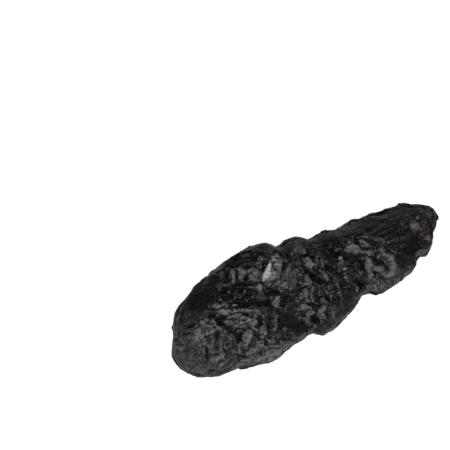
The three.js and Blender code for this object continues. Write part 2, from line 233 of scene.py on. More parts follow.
# smaller marks, placed where the camera sees them: (column, row, length, width, turn), all in
# steps of its 450 x 450 picture, the turn in degrees from level
seen = {
    # sunken marks whose dark floors are painted shade
    "pits": [
        (192, 325, 10, 4.5, 0), (219, 322, 9, 5, -40), (230, 329, 14, 4.5, -28),
        (212, 314, 6, 4.5, -30), (222, 318, 14, 3, 10), (238.6, 336.5, 13, 4.6, 85),
        (246, 315, 6, 4, 0), (260, 320, 12, 6, -90), (239, 303, 13, 2.5, 0), (227, 275, 11, 3, -90),
        (236, 277, 10, 2.5, -90), (245.8, 277.5, 10, 4.4, -88), (248, 283, 10, 4, 0),
        (266, 342, 6.5, 3.5, -90), (244, 357, 14, 3.6, 3), (316.6, 320.5, 9, 5, -80),
        (308, 329, 7, 7, 0), (316.3, 311, 9, 3, -80), (312, 272, 14, 5, -50), (306, 255, 5, 5, 0),
        (312, 256, 8, 3, -70), (327, 299, 8, 4, -90), (339, 300, 6, 4, -90), (360, 246, 11, 3, -25),
        (361.2, 283.4, 10.5, 7, 5), (377.8, 254, 7, 2.2, 80), (386.3, 266.4, 9, 2.6, -60),
        (376.3, 273, 6, 3, -40), (429, 221, 4, 4, 0), (211, 371, 9, 5, 20), (214.4, 327.2, 2.5, 2.5, 0),
    ],
    # darker marks tilted away from the lamps: painted shade
    "shade": [
        (207.6, 354.5, 4, 3, 0), (206, 350, 8, 4.5, -85), (209, 345, 12, 3, -85),
        (216.7, 346, 24, 2.6, -88), (224.6, 349, 11, 3, -85), (227, 338, 9, 3, -90),
        (238, 346, 8, 3, -70), (227, 288, 15, 8, 0), (243, 289, 15, 8, 0), (255, 259, 9, 5, 0),
        (236, 262, 14, 6, 30), (270, 290, 8, 6, 0), (268, 303, 12, 7, -90), (268, 294, 8, 6, 0),
        (289, 297, 12, 5, -90), (293, 307, 8, 7, -90), (284, 309, 7, 6, -90), (283, 266, 9, 3.5, 80),
        (294, 324, 16, 14, 0), (269, 326, 11, 3, -85), (272, 331, 10, 3, 80), (258, 333, 12, 3.5, 82),
        (278, 349, 10.5, 4, 30), (318, 281, 12, 5, -40), (329, 266, 10, 8, -90), (333, 251, 12, 6, -10),
        (350, 264, 12, 9, -90), (349, 293, 8, 6, -90), (345, 305, 8, 6, 30), (343, 283, 10, 7, 0),
        (355, 257.5, 14, 3.5, 0), (361.5, 266, 20, 6, -85), (406, 257, 14, 14, 0),
        (382, 230, 28, 9, 20), (404, 247, 8, 8, 0), (416, 241, 9, 8, -90), (226, 364, 16, 2, 40),
        (231, 366, 14, 2, 38),
    ],
    "fibres": [
        (348, 228.5, 30, 2, -2), (357, 232.3, 22, 1.8, -3), (365, 236.2, 16, 1.8, 5),
        (370, 226.5, 14, 1.8, -25), (381, 225.6, 14, 1.8, 22), (391, 221.5, 16, 2, 25),
        (399, 216, 12, 2.2, 35), (392, 214.5, 18, 1.6, 14), (383, 218, 20, 1.6, 14),
        (404, 208.5, 18, 2, 4), (386, 209.5, 16, 1.6, 18), (372, 221, 18, 1.6, 15),
        (398, 226, 14, 1.8, 25), (384, 232, 18, 1.6, 20), (406, 213, 12, 1.8, 20),
        (366, 218.5, 14, 1.5, 14),
    ],
    "dull": [
        (198, 359, 7, 5, 0), (188, 322, 9, 3, 35), (195, 322.5, 6, 2.6, -90), (204, 332, 8, 3, -85),
        (204, 343, 7, 3, 10), (229, 349, 6, 2, 70), (234, 352, 6, 5, 0), (224, 357, 6, 4, -80),
        (201, 372, 9, 5, 0), (221.5, 345, 18, 3, -88), (213, 342, 13, 2.5, -88),
        (235.5, 342, 10, 3, -90), (294, 276, 16, 9, -90), (349.5, 262, 5, 5, 0), (279, 336, 7, 4, 35),
        (291, 329, 5.5, 3.5, 0), (308, 320, 10, 7, -40), (296, 338, 14, 4, 10), (351, 240.5, 7, 5, 0),
        (389, 257, 9.5, 8.2, 30), (320, 323, 6, 5, 0), (404.5, 238, 5, 4, 0), (408, 256, 5, 4, 20),
        (396, 253, 4, 4, 0), (411, 244, 5, 3.5, -30), (337, 299, 6.5, 3, -90), (333, 308, 8, 5, 30),
        (331, 318, 9, 5, 20), (369.5, 263, 14, 7, -68), (414, 232, 4, 9, 0), (402, 222, 5.5, 4.5, -90),
        (429, 215, 6.5, 5, 0), (405, 239, 5.5, 3, 10), (405, 239, 5.5, 3, 0), (392, 229, 3, 3, 0),
        (405, 268, 11, 4, 30),
    ],
    "grey": [
        (195.5, 334.5, 11, 6, 75), (180, 345.5, 10.5, 8, 0), (226, 363, 13, 2, 38),
        (229.5, 366, 12, 2, 38), (250, 310.5, 24, 2.4, 3), (245, 317.5, 8, 4, 20),
        (258.5, 315, 10, 5, 5), (252, 321.5, 9.5, 6.5, 0), (234, 303.5, 6, 3.5, 0), (229, 322, 8, 7, 0),
        (218.5, 284.5, 7, 5, 40), (229, 291, 5, 4, 0), (304, 257, 5, 5, 0), (334, 313, 4, 6, 0),
        (312, 290, 9, 5, -90), (315, 325, 5, 6, 0), (238, 310, 7, 3, 10), (207, 313, 5, 5, 0),
        (277, 317, 4, 7, 0), (239.8, 272.8, 5.2, 4.4, 0), (241.4, 279, 7.5, 4.2, -72),
        (255.6, 275.2, 12.5, 8.2, 0), (259, 265, 6, 5, 0), (245.5, 254.8, 8, 2.6, 15),
        (223, 275, 5, 8, 0), (299, 246.5, 7, 4, 0), (260, 258, 5, 4, 0), (250, 286, 4.5, 3.5, -90),
        (304, 284, 4.5, 3.5, 0), (303, 306, 8, 6, -90), (296, 314, 3.5, 3.5, 0),
        (271, 342, 6.5, 5.5, 0), (254, 350.5, 9, 6, 0), (276, 326, 9, 2.5, 78), (248, 363, 24, 6, 8),
        (290, 342, 12, 2.2, 3), (295, 250, 6.5, 3.5, -55), (302, 250, 7, 5.5, 0),
        (313, 251, 5.5, 3.5, 0), (291, 243, 9, 2, -5), (323, 273, 12, 3.2, -45), (340, 258, 5, 4, 0),
        (340, 292, 7, 3, 75), (358, 289, 7, 3, 75), (370, 267.6, 9, 9, 0), (368, 259.2, 7.5, 8, 0),
        (371.4, 276.6, 7, 7.5, 0), (382.5, 250, 8, 6, 0), (344, 229, 12, 5.5, 15),
        (309.3, 262.3, 14, 5.2, -50), (338.5, 234, 8.5, 6.5, 0), (401.5, 246, 6, 6, -60),
        (381, 269.6, 9, 8.4, 0), (393, 265, 16, 8.4, -80), (390.3, 273.2, 9.5, 7, 55),
        (261, 342, 8, 8, 0), (415, 225.6, 11, 8.5, -50),
    ],
    "pale": [
        (202, 322, 5, 5, 0), (208, 326, 11, 3, -20), (217.5, 305.5, 8.5, 5, -5),
        (225.5, 303.5, 9, 5, -25), (225, 311.5, 13, 6, 5), (235, 315.5, 13, 3.4, 12),
        (264, 317, 3.5, 3.5, 0), (246.5, 338, 17, 8, 66), (233.6, 276.8, 9, 4.6, 88),
        (254.5, 269.3, 14, 2.6, 0), (242, 268.8, 12, 1.9, 3), (260, 287, 6, 6, 0),
        (244, 292.5, 6, 3.5, 30), (286, 274, 24, 3.4, 63), (277, 283, 7, 4, 20), (276, 302, 12, 7, -90),
        (285.8, 284.5, 7, 6, 0), (308, 280, 11, 6, -65), (306, 292.5, 10, 6, -75),
        (307, 301, 3.5, 3.5, 0), (300, 318, 3.5, 3.5, 0), (284, 329, 5.5, 4.5, -90),
        (250, 353, 9, 5.5, 10), (263, 329, 9, 3, -90), (281, 345, 24, 3.4, 12), (272, 354, 24, 7, 22),
        (252, 361, 26, 5, 12), (311, 313, 9, 5, 0), (310, 323.5, 9, 4.5, -40),
        (321.8, 310.3, 12, 6, 62), (316.5, 259, 7, 3.4, -75), (326, 276, 10, 4, -42),
        (322, 262, 7.5, 3.5, -65), (341, 262.5, 4.5, 3.5, 0), (345, 269, 3.5, 3, -90),
        (323, 301, 8, 4.5, -90), (331, 296, 5, 3, -90), (354.4, 249.6, 17, 7.4, -8),
        (364.8, 241.6, 9.5, 3.4, -32), (378.5, 239, 12, 5, -25), (371.5, 252.8, 9, 5, -25),
        (366.3, 251.6, 10, 4, -15), (360.6, 274, 7, 3.2, -88), (421, 252, 12, 7, 25),
        (428, 238, 7, 5, -75), (250.3, 334, 12, 7, 80),
    ],
    # painted highlights: small bright marks of frost
    "glints": [
        (220, 327.6, 8, 2.2, -30), (241, 323, 3.5, 3.5, 0), (237, 326, 5, 3, -20),
        (256, 322, 5.5, 3, -75), (254, 325, 4.5, 3, 0), (248, 336, 10, 4.5, 66),
        (266, 333, 4, 3.5, -90), (259, 359, 7, 3.4, 10), (322.5, 316.5, 4, 2.6, 70),
        (292, 254, 2.6, 2.6, 0), (341, 258.5, 4.5, 3, -60), (336, 284, 2.8, 2.8, 0),
        (361, 241, 4.5, 4, 0), (382.8, 255.8, 3.2, 2.6, -60), (418, 218, 4.5, 3, 0),
        (344.5, 268.5, 2.4, 2, 0),
    ],
}

# what each kind of mark does: height in millimetres, where its flat top ends (1 is its outline),
# its slope as a rise towards the head of the picture, and how frosted it is
# the frost below 0 of the shade marks and the pits is painted shade, the frost of the glints painted
# highlights
kinds = {
    "shade": {"height": -0.22, "flat": 0.20, "lean": -0.10, "frost": -0.5},
    "fibres": {"height": 0.10, "flat": 0.30, "lean": 0.06, "frost": 0.34},
    "dull": {"height": 0.14, "flat": 0.60, "lean": 0.08, "frost": 0.40},
    "grey": {"height": 0.20, "flat": 0.74, "lean": 0.18, "frost": 0.85},
    "pale": {"height": 0.24, "flat": 0.78, "lean": 0.26, "frost": 1.15},
    "glints": {"height": 0.26, "flat": 0.74, "lean": 0.34, "frost": 1.9},
    "pits": {"height": -0.65, "flat": 0.30, "lean": 0.0, "frost": -1.0},
}

# how every mark lies on the stone; r is 0 in its middle and 1 on its outline
markShape = {
    "spread": 1.12,  # size of the marks that stand up, over the sizes listed
    "power": 2.5,  # 2 is an ellipse, more is squarer
    "facing": 0.12,  # a mark's middle faces the camera by at least this (1 is straight at it)
    "sameWay": 0.2,  # and its other points face the way its middle does by at least this
    "slanting": 0.6,  # a slanting surface stretches it by 1 over this at most
    "behind": (-0.12, 0.1),  # facing over which it ends where the stone turns out of sight
    "behindStep": 1.4,  # r added there
    "fullBreadth": 1.6,  # millimetres; a narrower mark is lower in proportion
    "leastBreadth": 0.5,  # but no lower than this share
    "reach": 1.5,  # lengths from its middle beyond which it is not worked out
    "side": 1.08,  # r where its side reaches the ground
    "frost": (0.62, 1.16),  # r over which its frost gives way to what is round it
    "dark": (0.5, 1.15),  # r over which the painted shade on a pit's floor ends
    "area": (0.45, 1.35),  # r over which an area fades out
    "crease": {"width": 0.11, "narrowest": 0.08, "widest": 0.25, "covered": (0.03, 0.12)},
    "shaken": [(1.5, 0.24, 301), (0.6, 0.18, 302), (0.3, 0.09, 303)],  # size, amount and seed of each
}

# the chipped place, painted in this order: the corners of each facet, placed the same way and in
# order round it with no corner turning in, its brightness, a painted sheen (0 for old black glass), and its
# depth
facets = {
    "cavity": ([(262, 260.4), (269.8, 260.6), (266.4, 267), (264.2, 271), (262.4, 269)], 0, 1.3),
    "slab": (
        [(275.3, 253.6), (281.4, 254.6), (282, 266), (281, 274), (279.4, 279), (276, 279.4)],
        0.11, 0.3,
    ),
    "middle": ([(271, 263.6), (275.4, 263.6), (276, 271.4), (270, 272.4), (270.2, 268)], 0.12, 0.5),
    "mauve": ([(263.2, 279.8), (272.5, 279.5), (273.5, 283), (270, 285.4), (265, 284.8)], 0.08, 0.35),
    "belly": (
        [(269.6, 271.8), (275.8, 271), (276.4, 275.4), (274.6, 279.8), (267.2, 280.4), (268.4, 276.2)],
        0.38, 0.5,
    ),
    "heel": (
        [(264.2, 271.6), (263, 276), (262.6, 280), (267, 279.8), (269.6, 276), (270.4, 271.8)],
        0.56, 0.4,
    ),
    "blade": (
        [(270.2, 260.8), (267.3, 263.6), (265.1, 267.8), (264.2, 271.8), (269.6, 271.8), (270.9, 263.3)],
        0.50, 0.35,
    ),
    "crown": ([(272.2, 254.8), (274.6, 254.2), (275.3, 256.8), (275.2, 260.4), (273.2, 260)], 0.58, 0.2),
    "gap": ([(271.2, 260.4), (273.3, 260.8), (274.2, 264.4), (272.2, 264)], 0, 0.7),
    "crack": ([(271.6, 263.6), (275.4, 265.8), (278.6, 268), (278.2, 269.2), (274.6, 267.6)], 0, 0.6),
}

# areas of smoother or tinted glass, of painted light and of painted shade, placed the same way, each with
# its strength
areas = {
    # pale film laid over the glass; on the lower rim and the left end it also stands in for light falling
    # there: painted light
    "veilAndLight": [
        (196, 350, 30, 38, 0, 0.3), (224, 348, 30, 34, 0, 0.28), (207, 322, 24, 16, -20, 0.65),
        (186, 360, 20, 30, 30, 0.45), (272, 356, 50, 9, 21, 1.1), (268, 360, 14, 8, 22, 1.6),
        (240, 363, 30, 9, 8, 0.55), (203, 369, 42, 13, -4, 0.50), (293, 278, 18, 24, 70, 0.5),
        (391, 265, 22, 22, 0, 0.15), (251, 319, 18, 12, 0, 0.3), (236, 348, 24, 10, 0, 0.3),
        (405, 275, 28, 6, 38, 1.0), (382, 285, 32, 12, 8, 1.1), (231, 308, 22, 12, 0, 0.55),
        (251, 262, 30, 14, 10, 0.85), (259, 295, 14, 16, 0, 0.8), (236, 293, 34, 7, 0, 0.5),
        (426, 228, 14, 26, 0, 0.2), (222, 310, 20, 12, 0, 0.3), (240, 273, 34, 14, 8, 0.55),
        (398, 213, 40, 10, 12, 0.3), (293, 262, 24, 14, -80, 0.35), (300, 243, 34, 11, 8, 1.0),
        (336, 248, 26, 7, 0, 1.0), (328, 250, 9, 7, 0, 1.3), (340, 231, 40, 12, 8, 1.3),
        (343, 230, 18, 9, 12, 1.9), (262, 345, 16, 12, 0, 0.4), (179, 341, 15, 28, 0, 0.9),
        (197, 317, 26, 14, 0, 0.5), (187, 314, 9, 11, 0, 0.9), (232, 346, 6, 12, 0, 0.7),
        (222, 333, 10, 8, 0, 0.7), (252, 344, 10, 10, 0, 0.6), (308, 264, 8, 12, 0, 0.6),
        (322, 318, 10, 14, 0, 0.8), (370, 247, 9, 5, 0, 0.9), (178, 340, 10, 16, 0, 1.5),
        (353, 286, 5, 14, 0, 0.6), (176, 337, 6, 14, 0, 1.2), (250, 330, 8, 16, 0, 1.2),
        (266, 344, 8, 14, 0, 1.2), (266, 291, 18, 4, 0, 0.7), (279, 254, 24, 7, 0, 1.6),
        (194, 338, 12, 20, 0, 0.45), (272, 252, 30, 8, 0, 0.8), (284, 257, 7, 14, 0, 0.9),
        (297, 263, 9, 20, 0, 1.2), (422, 209, 20, 10, -20, 1.0), (371, 281, 10, 7, 0, 1.3),
        (250, 322, 5, 26, 0, 1.2), (257, 352, 12, 8, 0, 0.7), (256, 268, 13, 13, 0, 1.2),
        (369, 268, 14, 24, -86, 0.2),
    ],
    # painted shade: darker, matt patches on the flanks that face away from the lamps, along the upper left
    # edge as a painted shadow, and in hollows
    "soot": [
        (196, 284, 56, 26, 46, 0.5), (186, 306, 18, 16, 0, 0.2), (227, 286, 14, 8, 0, 0.7),
        (240, 285, 24, 5, 0, 1.3), (224, 288, 9, 6, 0, 1.1), (227, 298, 12, 4, 0, 0.9),
        (240, 299, 30, 5, 0, 0.4), (270, 321, 8, 28, 0, 1.0), (298, 327, 24, 13, 10, 1.1),
        (287, 321, 32, 22, 0, 0.7), (319, 276, 9, 18, 35, 0.7), (288, 293, 22, 7, 0, 0.7),
        (318, 272, 7, 16, 30, 0.6), (345, 298, 16, 9, 20, 0.7), (328, 312, 6, 14, 0, 0.6),
        (350, 257, 26, 8, 0, 0.5), (330, 266, 12, 12, 0, 0.4), (364, 278, 7, 20, 0, 0.6),
        (412, 247, 22, 30, 0, 1.0), (404, 264, 12, 14, 0, 0.8), (390, 226, 30, 8, 22, 0.5),
        (397, 266, 5, 20, 0, 0.5), (400, 246, 18, 12, 0, 0.6), (240, 256, 40, 14, 28, 0.5),
        (325, 237, 22, 8, 0, 0.5), (226, 258, 60, 9, 32, 0.6), (198, 280, 40, 12, 48, 1.0),
        (217, 341, 13, 20, 0, 0.8), (226, 345, 16, 28, 0, 0.5), (213, 356.5, 9, 7, 0, 0.8),
        (242, 287.5, 14, 4, 0, 1.0), (187, 352, 4, 12, 0, 0.5), (316, 304, 7, 9, 0, 0.6),
        (257, 363, 10, 6, 10, 1.4), (270, 333, 8, 9, 0, 1.0), (256, 283, 9, 4, 0, 0.9),
        (290, 249, 8, 5, 0, 0.9), (328, 316, 5, 8, 0, 0.9), (322, 272, 5, 10, 0, 0.8),
        (366.3, 265.5, 6, 7, 0, 0.6), (378, 250, 5, 8, 0, 0.8), (392, 245, 8, 6, 0, 0.8),
        (400, 258, 9, 9, 0, 0.8), (426, 213, 5, 6, 0, 0.8), (383, 229, 10, 7, 22, 0.7),
        (316, 331, 16, 5, 10, 0.7), (182, 336, 8, 6, 0, 0.5), (372, 293, 10, 5, 0, 0.8),
        (414, 258, 9, 7, 30, 0.8), (380, 276, 12, 5, 0, 0.8), (214, 312, 4, 16, 0, 0.3),
        (425, 243, 10, 9, 0, 0.9), (432, 232, 7, 14, 0, 1.1), (420, 256, 16, 8, 30, 0.5),
        (380, 211, 56, 7, 17, 0.8), (380, 213, 24, 7, 17, 1.1), (206, 351, 4.5, 14, 0, 1.0),
        (207.5, 342, 7, 12, 0, 1.0), (216, 354.5, 8, 6, 0, 1.0), (204, 332, 6, 9, 0, 0.6),
        (180, 320, 6, 7, 0, 0.5), (198, 357, 9, 7, 0, 0.5), (241, 361, 8, 5, 0, 0.7),
        (244, 351, 6, 5, 0, 0.7), (264, 354, 7, 5, -20, 0.7), (341, 252, 8, 5, 0, 0.8),
        (176, 363, 18, 7, -55, 1.6), (217, 336, 7, 14, 0, 1.2), (186, 299, 14, 10, 0, 0.5),
        (318, 289, 6, 7, 0, 0.9), (299.5, 260.5, 6, 5, 0, 0.8), (394, 261, 5, 9, 0, 0.7),
        (225, 328, 20, 5, -25, 0.5), (314, 313, 5, 18, 0, 0.6), (315.8, 319.5, 6, 9, -80, 1.4),
        (327, 313, 6, 12, 0, 0.6), (344, 292, 12, 16, 0, 0.5), (262, 247, 20, 6, 0, 0.5),
        (363, 267, 6, 16, 0, 1.3), (265, 260, 8, 5, 0, 0.8), (376.5, 261, 4, 10, 0, 0.8),
        (381, 259, 7, 9, 0, 0.7), (388, 243, 10, 9, 0, 0.5), (427, 231, 12, 9, 0, 0.6),
        (409, 229, 7, 12, 0, 0.9), (289, 296, 20, 9, 0, 0.8), (286, 339, 30, 6, 12, 0.5),
        (250, 362, 24, 8, 8, 0.7), (333, 260, 18, 6, 0, 0.5), (204, 350, 12, 12, 0, 0.5),
        (308, 271, 8, 12, 40, 0.5), (209, 326, 9, 9, 0, 0.8), (213, 356, 10, 8, 0, 0.6),
        (306, 280, 9, 9, 0, 0.8), (335, 303, 8, 16, -20, 0.5), (352, 305, 8, 12, 0, 0.5),
        (327, 287, 7, 14, 0, 0.6), (395, 268, 6, 22, 0, 0.3), (325, 324, 18, 10, 20, 0.5),
    ],
    "worn": [
        (200, 290, 60, 22, 48, 0.9), (207, 347, 50, 50, 0, 0.95), (398, 226, 70, 20, 24, 0.6),
        (408, 250, 24, 30, 0, 0.2), (265, 358, 60, 11, 18, 0.6), (300, 240, 70, 9, 12, 0.6),
        (388, 266, 28, 26, 0, 1), (369, 266, 16, 28, 0, 1), (353, 250, 18, 11, 0, 0.8),
        (254, 277, 14, 11, 0, 0.8), (309, 262, 15, 8, -50, 0.7),
    ],
    "warm": [
        (260, 289, 9, 9, 0, 0.6), (272, 354, 34, 9, 22, 0.7), (322, 263, 9, 7, 0, 0.8),
        (367.5, 259.5, 10, 9, 0, 0.9), (422, 252, 14, 10, 20, 1.0), (430, 232, 14, 40, 10, 0.65),
        (388, 211, 70, 9, 18, 1.0), (414, 206, 30, 8, -5, 1.0), (370, 226, 50, 8, 15, 0.4),
        (404, 268, 14, 7, 30, 0.8), (303, 306, 9, 9, 0, 0.6), (271, 278, 12, 9, 80, 1),
        (259, 295, 10, 14, 0, 0.8), (321, 330, 14, 7, 30, 0.6), (260, 257, 18, 8, 0, 0.8),
        (380, 285, 26, 8, 10, 0.9), (360, 276, 9, 14, 0, 0.8), (250, 363, 30, 8, 10, 0.5),
    ],
    "cool": [
        (222, 345, 34, 30, 0, 1), (222, 312, 18, 9, 0, 0.7), (253, 318, 16, 11, 0, 0.7),
        (240, 277, 26, 12, 0, 0.6), (354, 250, 18, 10, 0, 0.4), (298, 285, 14, 20, 0, 0.4),
        (380, 268, 11, 11, 0, 0.5), (348, 285, 16, 26, 0, 0.8),
    ],
    "brown": [
        (396, 226, 76, 24, 22, 1), (370, 220, 60, 10, 22, 1), (406, 210, 36, 8, 6, 1),
        (428, 236, 14, 34, 10, 0.9), (196, 300, 54, 26, 50, 0.8), (408, 250, 20, 26, 0, 0.4),
        (185, 355, 16, 34, 0, 0.6), (330, 236, 44, 12, 12, 0.9), (295, 328, 26, 16, 0, 0.9),
        (265, 248, 30, 9, 0, 0.8), (292, 258, 10, 14, 0, 0.6), (205, 372, 30, 8, -5, 0.5),
    ],
}

# round pits over the whole stone, on a spiral from tip to tip, in millimetres
spiralPits = {
    "count": 200,
    "turn": 2.399963,  # golden angle, in radians
    "smallest": 1.6,  # radius
    "spread": 1.9,
    "radiusStep": 0.754877,  # the radii run through the spread by this share at a time
    "depthShare": 0.26,
    "onFace": 0.6,  # share of the depth left on the broad face
    "faceMargin": 0.35,
    "wornAway": 0.6,
}


def placed(table):
    # each carved form's centre, normal, two own axes, half sizes and height on the smooth surface;
    # its long axis is X laid flat on the surface and turned about the normal
    t = np.array(table, float)
    share, angle = onFace(t[:, 0], t[:, 1])
    centre, normal = smoothPoint(share, angle), smoothNormal(share, angle)
    flat = np.array([1.0, 0, 0]) - normal * normal[:, :1]
    lengthwise, widthwise = unit(flat), np.cross(normal, unit(flat))
    turn = np.radians(t[:, 4:5])
    a = lengthwise * np.cos(turn) + widthwise * np.sin(turn)
    return list(zip(centre, normal, a, np.cross(normal, a), t[:, 2] / 2, t[:, 3] / 2, t[:, 5]))


def bowl(mark, points, normals):
    # 1 - a^2 - b^2 on the mark's ellipse, 0 outside it and on the far side of the stone
    centre, normal, a, b, halfLength, halfWidth, _ = mark
    offset = points - centre
    u, v = offset @ a / halfLength, offset @ b / halfWidth
    return np.where(normals @ normal > 0, np.maximum(0, 1 - u * u - v * v), 0)


def bowls(kind, points, normals):
    # height * bowl^power of every carved form of one kind
    power = carvedPower[kind]
    return [mark[-1] * bowl(mark, points, normals) ** power for mark in placed(carved[kind])]


def scramble(i, j, k, seed):
    # a steady number from 0 to 1 for each cube of space: its three counts and the seed, each times
    # a large odd number, mixed by shifts
    n = (i * 73856093) ^ (j * 19349663) ^ (k * 83492791) ^ (seed * 40503)
    n = (n & 0xFFFFFFFF) * 1274126177 & 0xFFFFFFFF
    n = ((n ^ (n >> 15)) * 2246822519) & 0xFFFFFFFF
    return ((n ^ (n >> 13)) & 0xFFFFFF) / 0x1000000


def plates(points, size, seed, slant=1.6):
    # one centre in each cube of the given size: a point takes the level and slope drawn for its
    # nearest centre, edge is how much further off, in cube sizes, the second nearest is, and
    # mood is the number that the level was drawn from
    cube = np.floor(points / size).astype(np.int64)
    nearest, second = np.full(len(points), 9.0), np.full(len(points), 9.0)
    level, mood = np.zeros(len(points)), np.zeros(len(points))
    for step in np.ndindex(3, 3, 3):
        i, j, k = (cube + np.array(step) - 1).T
        drawn = np.stack([scramble(i, j, k, seed + m) for m in range(7)], 1)
        offset = points / size - np.stack([i, j, k], 1) - drawn[:, :3]
        distance = np.sqrt((offset**2).sum(1))
        closer = distance < nearest
        second = np.where(closer, nearest, np.minimum(second, distance))
        nearest = np.where(closer, distance, nearest)
        slope = ((drawn[:, 3:6] * 2 - 1) * offset).sum(1)
        level = np.where(closer, drawn[:, 6] * 2 - 1 + slant * slope, level)
        mood = np.where(closer, drawn[:, 6], mood)
    return level, second - nearest, mood


def cells(points, size, seed, least=0.3, most=0.62):
    # one ball in each cube of the given size, centre and radius drawn for the cube; the value
    # is the largest (1 - (distance / radius)^2) * radius / size over the balls around a point
    cube = np.floor(points / size).astype(np.int64)
    best = np.zeros(len(points))
    for step in np.ndindex(3, 3, 3):
        i, j, k = (cube + np.array(step) - 1).T
        drawn = [scramble(i, j, k, seed + m) for m in range(4)]
        centre = (np.stack([i, j, k], 1) + np.stack(drawn[:3], 1)) * size
        radius = least + (most - least) * drawn[3]
        best = np.maximum(best, (1 - ((points - centre) ** 2).sum(1) / (radius * size) ** 2) * radius)
    return best


def haze(points, size, seed):
    # smooth random field, -1 to 1: numbers drawn at the cube corners, blended by 3t^2 - 2t^3
    cube = np.floor(points / size).astype(np.int64)
    f = points / size - cube
    f = f * f * (3 - 2 * f)
    total = np.zeros(len(points))
    for step in np.ndindex(2, 2, 2):
        i, j, k = (cube + np.array(step)).T
        weight = np.prod(np.where(np.array(step) == 1, f, 1 - f), axis=1)
        total += weight * scramble(i, j, k, seed)
    return total * 2 - 1


def drift(points, size, amount, seed):
    # points moved by three such fields, so that round cells become flowing ones
    return points + amount * np.stack([haze(points, size, seed + 11 * m) for m in range(3)], 1)


def direction(azimuth, elevation):
    # (sin a cos e, -cos a cos e, sin e): from the stone towards a camera or a lamp
    a, e = math.radians(azimuth), math.radians(elevation)
    return math.sin(a) * math.cos(e), -math.cos(a) * math.cos(e), math.sin(e)


def cameraAxes():
    # unit vectors to the right, up and back towards the eye
    azimuth = math.radians(camera["azimuth"])
    back = np.array(direction(camera["azimuth"], camera["elevation"]))
    right = np.array([math.cos(azimuth), math.sin(azimuth), 0.0])
    return right, np.cross(back, right), back


right, upward, back = cameraAxes()
shift = np.array([*form["middle"], form["restLevel"]])  # the stone's axis to the part's origin


def pictured(points):
    # column and row of each point in the camera's picture, and the picture steps to a millimetre:
    # sideways or up over the depth, times picture width * lens / sensor, from the picture's middle
    fromEye = points - shift - 1000 * (np.array(camera["aim"]) + back * camera["distance"])
    scale = camera["picture"] * camera["lens"] / camera["sensor"] / -(fromEye @ back)
    middle = camera["picture"] / 2
    return middle + scale * (fromEye @ right), middle - scale * (fromEye @ upward), scale


class Sight:
    # finds marks given by column and row on the smooth surface, and how each lies on it
    def __init__(self, points, normals):
        self.points, self.normals = points, normals
        self.seat(points)
        self.facing = normals @ back > markShape["facing"]
        self.shaken = points
        for size, amount, seed in markShape["shaken"]:
            self.shaken = drift(self.shaken, size, amount, seed)

    def seat(self, points):
        # where the camera sees each point, once the larger forms have moved it
        self.column, self.row, self.scale = pictured(points)

    def stamp(self, mark, spread=1.0):
        # r = (|u|^p + |v|^p)^(1/p), with u and v the shares of the mark's half length and half
        # width, its place shaken; each axis is laid flat on the surface at the mark's middle.
        # Gives the points near it, their r, how far up the picture they are and its breadth
        shape, power = markShape, markShape["power"]
        away = np.hypot(self.column - mark[0], self.row - mark[1])
        nearest = np.argmin(np.where(self.facing, away, np.inf))
        normal, size = self.normals[nearest], self.scale[nearest]
        offset = self.shaken - self.shaken[nearest]
        limit = shape["reach"] * spread * max(mark[2], mark[3]) / size
        near = (np.abs(offset) < limit).all(1)
        inside = np.nonzero(near & (self.normals @ normal > shape["sameWay"]))[0]
        turn = math.radians(mark[4])
        shares = []
        for axis, length in (
            (right * math.cos(turn) + upward * math.sin(turn), mark[2]),
            (upward * math.cos(turn) - right * math.sin(turn), mark[3]),
        ):
            axis = axis - normal * (axis @ normal)
            axis *= max(1.0, shape["slanting"] / np.linalg.norm(axis))
            shares.append(np.abs(offset[inside] @ axis) * 2 * size / (length * spread))
        r = (shares[0] ** power + shares[1] ** power) ** (1 / power)
        r += shape["behindStep"] * (1 - smoothStep(self.normals[inside] @ back, *shape["behind"]))
        breadth = max(shape["leastBreadth"], min(1.0, mark[3] / size / shape["fullBreadth"]))
        return inside, r, offset[inside] @ upward, breadth

    def within(self, corners, soft=0.7):
        # 1 inside the corners, 0 outside: the least of the distances to the sides, in picture steps
        corners = np.array(corners, float)
        sides = np.roll(corners, -1, axis=0) - corners
        inner = []
        for (x, y), (dx, dy) in zip(corners, sides):
            across = (self.column - x) * dy - (self.row - y) * dx
            inner.append(across / math.hypot(dx, dy))
        if (np.cross(sides, np.roll(sides, -1, axis=0))).sum() > 0:
            inner = [-value for value in inner]
        return smoothStep(np.min(inner, axis=0), -soft, soft / 2) * self.facing

    def area(self, rows):
        # the strongest of the soft-edged areas at each point
        value = np.zeros(len(self.points))
        for row in rows:
            inside, r, _, _ = self.stamp(row)
            strength = row[5] * (1 - smoothStep(r, *markShape["area"]))
            value[inside] = np.maximum(value[inside], strength)
        return value


